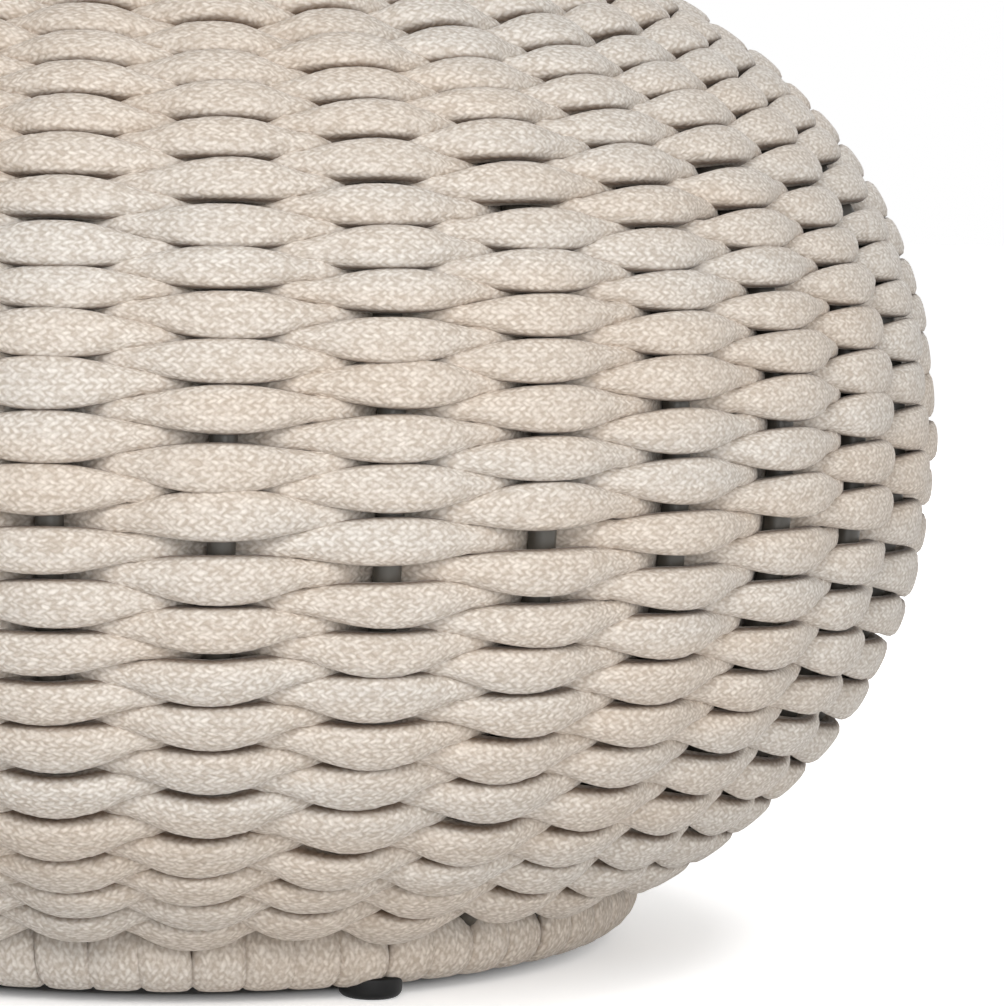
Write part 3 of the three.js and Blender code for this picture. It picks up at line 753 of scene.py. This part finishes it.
class FOOTSTOOL_OT_top_coil(bpy.types.Operator):
    """Wind the flat coil of rope that closes the top"""

    bl_idname = "footstool.top_coil"
    bl_label = "Top coil"

    STEPS = 40
    SEED = 31
    GAP = 0.8 * MM
    START_RADIUS = 9 * MM
    # Turns that the inner end curls on inside the start radius, and turns over which the outer end dips
    LEAD_IN = 0.2
    LEAD_OUT = 0.12
    DIP = 6 * MM
    # The turns press on each other: width in pitches, height in thicknesses, and fullness of the section
    WIDTH = 1.03
    HEIGHT = 0.93
    FULLNESS = 2.5
    # How far the rope strays outwards and up
    STRAY_OUT = 0.3 * MM
    STRAY_UP = 0.35 * MM

    def execute(self, context):
        sizes = context.scene.footstool_sizes
        random = np.random.default_rng(self.SEED)
        thickness = COIL_HIGH.z - COIL_LOW.z
        pitch = thickness + self.GAP
        end_radius = sizes.top_rim_diameter / 2 - thickness / 2 - self.GAP
        turns = (end_radius - self.START_RADIUS) / pitch
        count = int((turns + self.LEAD_IN) * self.STEPS)
        wander = partial(drift, random, count, self.STEPS // 4)
        angle = TURN * np.linspace(-self.LEAD_IN, turns, count)
        radius = self.START_RADIUS + pitch * angle / TURN + wander(self.STRAY_OUT)
        dip = smooth_interp(angle / TURN, (turns - self.LEAD_OUT, turns), (0, self.DIP))
        height = (COIL_HIGH.z + COIL_LOW.z) / 2 - dip + wander(self.STRAY_UP)
        middle = np.stack([radius * np.cos(angle), radius * np.sin(angle), height], 1)
        up = np.stack([np.cos(angle), np.sin(angle), np.zeros(count)], 1)
        side, outward = path_frames(middle, up)
        half_width, half_depth = rounded_ends(
            np.full(count, pitch / 2 * self.WIDTH), np.full(count, thickness / 2 * self.HEIGHT)
        )
        girth = sizes.rope_girth
        mesh = tube_mesh(
            "top_coil_rope", middle, side, outward, half_width, half_depth, girth, fullness=self.FULLNESS
        )
        finish_piece(new_object("top_coil_rope", mesh), rope_material(context.scene), "rope", "top_coil")
        return {"FINISHED"}


class FOOTSTOOL_OT_cage(bpy.types.Operator):
    """Bend the bars of the cage and its base hoop"""

    bl_idname = "footstool.cage"
    bl_label = "Cage"

    SIDES = 20
    STATIONS = 60
    HOOP_STEPS = 192
    # A bar ends at this share of the way from the middle of the hoop's own bar to its skin
    WELD = 0.9

    def execute(self, context):
        sizes = context.scene.footstool_sizes
        outline = Outline(sizes)
        material = bar_material(context.scene)
        radius = sizes.bar_diameter / 2
        rim = outline.length_at_radius(sizes.top_rim_diameter / 2)
        r, z, _, _ = outline.at(np.linspace(0, rim, self.STATIONS), sizes.rope_over_bar + radius)
        hoop_radius = (HOOP_HIGH.x - HOOP_LOW.x) / 2 - radius
        hoop_height = (HOOP_HIGH.z + HOOP_LOW.z) / 2
        # A bar ends on the hoop, not quite at its middle, and at the rim of the hub
        hoop = np.array([hoop_radius, hoop_height])
        first = np.array([r[0], z[0]])
        weld = hoop + (first - hoop) / np.linalg.norm(first - hoop) * radius * self.WELD
        hub_edge = np.array([(HUB_HIGH.x - HUB_LOW.x) / 2, HUB_HIGH.z - radius])
        line = np.concatenate([[weld], np.stack([r, z], 1), [hub_edge]])
        thick = np.full(len(line), radius)
        for rib, node in enumerate(RIB_NODES):
            angle = rib * BAY
            middle = np.stack([line[:, 0] * math.cos(angle), line[:, 0] * math.sin(angle), line[:, 1]], 1)
            across = np.tile([-math.sin(angle), math.cos(angle), 0], (len(line), 1))
            side, outward = path_frames(middle, across)
            name = node.replace("rib", "bent_bar")
            mesh = tube_mesh(name, middle, side, outward, thick, thick, TURN * radius, sides=self.SIDES)
            finish_piece(new_object(name, mesh), material, "frame_bar", node)

        turns = np.linspace(0, TURN, self.SIDES, endpoint=False)
        profile = [(hoop_radius + radius * math.cos(a), hoop_height + radius * math.sin(a)) for a in turns]
        mesh = lathe_mesh("base_hoop", profile, self.HOOP_STEPS, closed=True)
        finish_piece(new_object("base_hoop", mesh), material, "frame_bar", "base_ring")
        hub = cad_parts["top_hub"]
        hub.data.materials.clear()
        hub.data.materials.append(material)
        return {"FINISHED"}


def lathe_mesh(name, profile, steps, closed=False):
    """A profile of radius and height turned round the Z axis. An open one is capped flat at both ends."""
    rows = len(profile)
    angles = np.linspace(0, TURN, steps, endpoint=False)
    vertices = [(r * math.cos(a), r * math.sin(a), z) for r, z in profile for a in angles]
    faces = []
    for i in range(rows if closed else rows - 1):
        n = (i + 1) % rows
        for j in range(steps):
            k = (j + 1) % steps
            faces.append((i * steps + j, i * steps + k, n * steps + k, n * steps + j))
    if not closed:
        faces.append(tuple(reversed(range(steps))))
        faces.append(tuple((rows - 1) * steps + j for j in range(steps)))
    return new_mesh(name, vertices, faces)


class FOOTSTOOL_OT_glides(bpy.types.Operator):
    """Mould the glides under the base hoop"""

    bl_idname = "footstool.glides"
    bl_label = "Glides"

    # Rounding of the pad's lower and upper edges, and the points that each gets
    EDGE = 3.2 * MM
    TOP_EDGE = 1.2 * MM
    EDGE_POINTS = 8
    # How far the pad reaches up between the wraps of the lashing
    SEAT = 2.5 * MM
    # How many times as wide as its stem the pad is
    PAD_TO_STEM = 3
    SIDES = 64

    def execute(self, context):
        for number, node in enumerate(GLIDE_NODES, 1):
            low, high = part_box(node)
            centre = (low + high) / 2
            radius = (high.x - low.x) / 2
            stem = radius / self.PAD_TO_STEM
            pad_top = LASHING_LOW.z + self.SEAT
            quarter = np.linspace(0, math.pi / 2, self.EDGE_POINTS)
            corner = [
                (radius - self.EDGE * (1 - math.sin(a)), self.EDGE * (1 - math.cos(a))) for a in quarter
            ]
            shoulder = [
                (radius - self.TOP_EDGE * (1 - math.cos(a)), pad_top - self.TOP_EDGE * (1 - math.sin(a)))
                for a in quarter
            ]
            # From half-way out on the underside, round both edges of the pad, and up the stem
            profile = [(radius / 2, 0.0), *corner, *shoulder, (stem, pad_top), (stem, high.z)]
            name = f"glide_{number}"
            mesh = lathe_mesh(name, profile, self.SIDES)
            mesh.transform(Matrix.Translation((centre.x, centre.y, 0)))
            finish_piece(new_object(name, mesh), glide_material(context.scene), "glide", node)
        return {"FINISHED"}


def area_light(name, place, target, size, power):
    """A round soft lamp that faces the target."""
    light = bpy.data.lights.new(name, "AREA")
    light.shape = "DISK"
    light.size = size
    light.energy = power
    lamp = new_object(name, light)
    lamp.location = place
    lamp.rotation_mode = "QUATERNION"
    lamp.rotation_quaternion = (Vector(target) - Vector(place)).to_track_quat("-Z", "Y")


def add_seen_share(tree):
    """1 where a surface is seen, also in a reflection or through glass, and 0 where it only gives light."""
    rays = add_node(tree, "LightPath").outputs
    seen = add_node(tree, "Math", MAXIMUM, i0=rays["Is Camera Ray"], i1=rays["Is Glossy Ray"]).outputs[0]
    return add_node(tree, "Math", MAXIMUM, i0=seen, i1=rays["Is Transmission Ray"]).outputs[0]


class FOOTSTOOL_OT_stage(bpy.types.Operator):
    """Set the camera, the floor and the studio light"""

    bl_idname = "footstool.stage"
    bl_label = "Stage"

    # Where the photograph was taken from, in the stool's own frame: metres and radians
    DISTANCE = 1.8811
    HEIGHT = 0.3255
    BEARING = math.radians(-94.18)
    PAN = 0.0742
    TILT = 0.0808
    ROLL = 0.0254
    # Focal length in pixels of the photograph, and the sensor's width in millimetres
    FOCAL_PIXELS = 4639.3
    SENSOR = 36.0

    FLOOR_REACH = 12.0
    # What is added to the floor's own light to make it white, and the share of that near the stool
    FLOOR_LIFT = 0.76
    NEAR_SHARE = 0.57
    # From the lashing's outer side: where the lift sets in, and where the soft shade round the stool fades
    LIFT_FROM, LIFT_TO = -32 * MM, -8 * MM
    SHADE_FROM, SHADE_TO = 30 * MM, 85 * MM
    SKY_LIGHT = 0.23

    # Name, place, size and power of each lamp
    LAMPS = (
        ("key_light", (-0.6, -2.6, 1.9), 1.6, 49),
        ("front_light", (0.3, -3.0, 0.55), 1.2, 17),
        ("side_light", (2.4, -1.8, 0.9), 2.0, 14),
        ("top_light", (0.2, 0.2, 2.8), 2.4, 10),
        ("back_light", (0.7, 2.7, 1.5), 2.0, 26),
    )
    LAMP_TARGET = (0, 0, 0.2)

    def execute(self, context):
        self.add_camera(context.scene)
        self.add_floor(context.scene)
        self.add_sky(context.scene)
        for name, place, size, power in self.LAMPS:
            area_light(name, place, self.LAMP_TARGET, size, power)
        context.scene.view_settings.view_transform = "Standard"
        return {"FINISHED"}

    def add_camera(self, scene):
        """The camera that took the photograph."""
        camera = bpy.data.objects.new("camera", bpy.data.cameras.new("camera"))
        scene.collection.objects.link(camera)
        place = (self.DISTANCE * math.cos(self.BEARING), self.DISTANCE * math.sin(self.BEARING), self.HEIGHT)
        heading = self.BEARING + math.pi - self.PAN
        level = Vector((math.cos(heading), math.sin(heading), 0))
        right = Vector((level.y, -level.x, 0))
        forward = level * math.cos(self.TILT) - Vector((0, 0, math.sin(self.TILT)))
        up = right.cross(forward)
        rolled_right = right * math.cos(self.ROLL) + up * math.sin(self.ROLL)
        rolled_up = up * math.cos(self.ROLL) - right * math.sin(self.ROLL)
        turned = Matrix((rolled_right, rolled_up, -forward)).transposed()
        camera.matrix_world = Matrix.Translation(place) @ turned.to_4x4()
        camera.data.sensor_width = self.SENSOR
        camera.data.lens = self.FOCAL_PIXELS * self.SENSOR / max(IMAGE_WIDTH, IMAGE_HEIGHT)
        camera.data.clip_end = 50
        scene.camera = camera

    def add_floor(self, scene):
        """A pale floor that keeps the stool's shadow."""
        reach = self.FLOOR_REACH
        corners = [(-reach, -reach, 0), (reach, -reach, 0), (reach, reach, 0), (-reach, reach, 0)]
        floor = new_object("floor", new_mesh("floor", corners, [(0, 1, 2, 3)]))
        material, tree, shader = new_material("white_studio_floor")
        shader.inputs["Base Color"].default_value = scene.footstool_colours.floor
        shader.inputs["Roughness"].default_value = 0.7
        shader.inputs["Specular IOR Level"].default_value = 0.2
        shader.inputs["Emission Color"].default_value = WHITE
        # Seen directly, the floor is lifted to the white of the paper behind it, less so near the stool
        add = partial(add_node, tree)
        spot = add("TexCoord").outputs["Object"]
        away = add("VectorMath", {"operation": "LENGTH"}, i0=spot).outputs["Value"]
        away = add("Math", SUBTRACT, i0=away, i1=LASHING_HIGH.x).outputs[0]
        open_floor = add("MapRange", Value=away, From_Min=self.LIFT_FROM, From_Max=self.LIFT_TO)
        shade = add(
            "MapRange", Value=away, From_Min=self.SHADE_FROM, From_Max=self.SHADE_TO, To_Min=self.NEAR_SHARE
        )
        lift = add("Math", MULTIPLY, i0=open_floor.outputs[0], i1=self.FLOOR_LIFT).outputs[0]
        lift = add("Math", MULTIPLY, i0=lift, i1=shade.outputs[0]).outputs[0]
        lift = add("Math", MULTIPLY, i0=lift, i1=add_seen_share(tree)).outputs[0]
        tree.links.new(lift, shader.inputs["Emission Strength"])
        floor.data.materials.append(material)

    def add_sky(self, scene):
        """A sky that gives an even, faint light and is seen as white."""
        world = bpy.data.worlds.new("studio")
        world.use_nodes = True
        sky = world.node_tree
        background = sky.nodes["Background"]
        background.inputs["Color"].default_value = WHITE
        strength = add_node(
            sky, "Math", MULTIPLY_ADD, i0=add_seen_share(sky), i1=1 - self.SKY_LIGHT, i2=self.SKY_LIGHT
        )
        sky.links.new(strength.outputs[0], background.inputs["Strength"])
        scene.world = world


class FOOTSTOOL_PT_panel(bpy.types.Panel):
    """Lists the footstool's pieces and sizes"""

    bl_idname = "FOOTSTOOL_PT_panel"
    bl_label = "Footstool"
    bl_space_type = "VIEW_3D"
    bl_region_type = "UI"
    bl_category = "Footstool"

    def draw(self, context):
        for group in (context.scene.footstool_sizes, context.scene.footstool_colours):
            box = self.layout.box()
            for name in group.__annotations__:
                box.prop(group, name)
        for operator in OPERATORS:
            self.layout.operator(operator.bl_idname)


OPERATORS = (
    FOOTSTOOL_OT_stage,
    FOOTSTOOL_OT_cage,
    FOOTSTOOL_OT_weave,
    FOOTSTOOL_OT_lashing,
    FOOTSTOOL_OT_top_coil,
    FOOTSTOOL_OT_glides,
)
CLASSES = (FootstoolSizes, FootstoolColours, *OPERATORS, FOOTSTOOL_PT_panel)


def register():
    """Registers the classes and gives the scene its sizes and colours."""
    for each in CLASSES:
        bpy.utils.register_class(each)
    bpy.types.Scene.footstool_sizes = PointerProperty(type=FootstoolSizes)
    bpy.types.Scene.footstool_colours = PointerProperty(type=FootstoolColours)


def unregister():
    """Takes away what register added."""
    del bpy.types.Scene.footstool_colours
    del bpy.types.Scene.footstool_sizes
    for each in reversed(CLASSES):
        bpy.utils.unregister_class(each)


def main():
    """Makes every piece and the stage."""
    register()
    bpy.ops.footstool.stage()
    bpy.ops.footstool.cage()
    bpy.ops.footstool.weave()
    bpy.ops.footstool.lashing()
    bpy.ops.footstool.top_coil()
    bpy.ops.footstool.glides()


if __name__ == "__main__":
    main()
